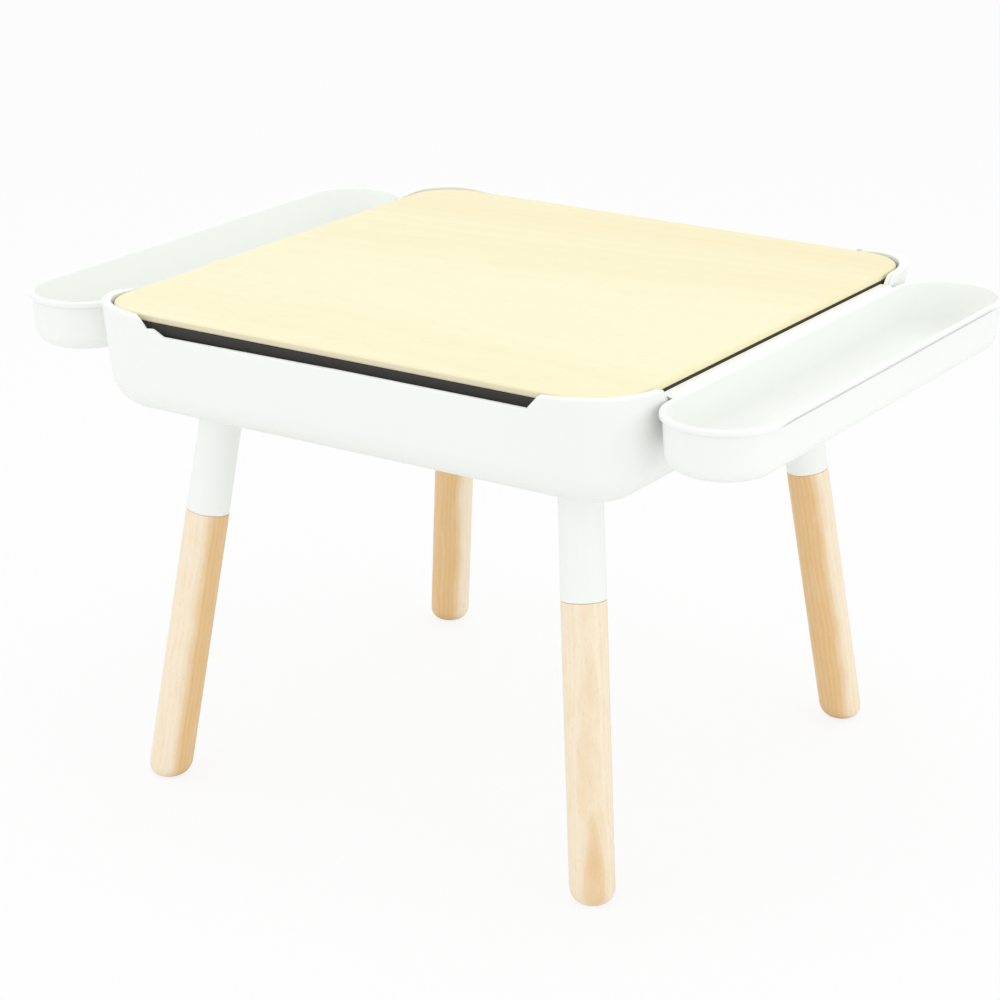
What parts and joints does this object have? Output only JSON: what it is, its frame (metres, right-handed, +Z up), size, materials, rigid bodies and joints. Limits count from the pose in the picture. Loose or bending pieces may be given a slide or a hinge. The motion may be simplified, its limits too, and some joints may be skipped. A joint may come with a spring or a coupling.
{
  "type": "kids activity table",
  "caption": "Low square play table for children: a lift-off wood and chalkboard top over a white storage tub, with splayed turned legs and a tray hooked on each side.",
  "frame": {"origin": "on the floor, under the centre of the tub", "axes": "+X to the right along the front edge, from tray to tray; +Y to the back; +Z up"},
  "size_m": [0.716, 0.5198, 0.4307],
  "materials": {
    "white_plastic": "satin white moulded ABS",
    "beech": "turned beech, clear satin lacquer",
    "pale_wood": "pale wood face, clear satin lacquer",
    "chalkboard": "fibreboard with matt black chalkboard paint",
    "dark_plastic": "matt dark brown moulded nylon",
    "steel": "zinc-plated steel",
    "brass": "turned brass"
  },
  "bodies": {
    "table_frame": {"tub": "white_plastic", "leg_front_left": "beech", "leg_front_right": "beech", "leg_back_left": "beech", "leg_back_right": "beech", "leg_sleeve_front_left": "white_plastic", "leg_sleeve_front_right": "white_plastic", "leg_sleeve_back_left": "white_plastic", "leg_sleeve_back_right": "white_plastic", "foot_glide_front_left": "dark_plastic", "foot_glide_front_right": "dark_plastic", "foot_glide_back_left": "dark_plastic", "foot_glide_back_right": "dark_plastic", "hanger_bolt_front_left": "steel", "hanger_bolt_front_right": "steel", "hanger_bolt_back_left": "steel", "hanger_bolt_back_right": "steel", "threaded_insert_front_left": "brass", "threaded_insert_front_right": "brass", "threaded_insert_back_left": "brass", "threaded_insert_back_right": "brass"},
    "board": {"board_wood_face": "pale_wood", "board_chalk_face": "chalkboard"},
    "right_tray": {"tray_right": "white_plastic"},
    "left_tray": {"tray_left": "white_plastic"}
  },
  "joints": [
    {"name": "board_lift", "type": "slide", "parent": "table_frame", "child": "board", "axis": [0, 0, 1], "range_m": [0, 0.1]},
    {"name": "right_tray_lift", "type": "slide", "parent": "table_frame", "child": "right_tray", "axis": [0, 0, 1], "range_m": [0, 0.06]},
    {"name": "left_tray_lift", "type": "slide", "parent": "table_frame", "child": "left_tray", "axis": [0, 0, 1], "range_m": [0, 0.06]}
  ]
}
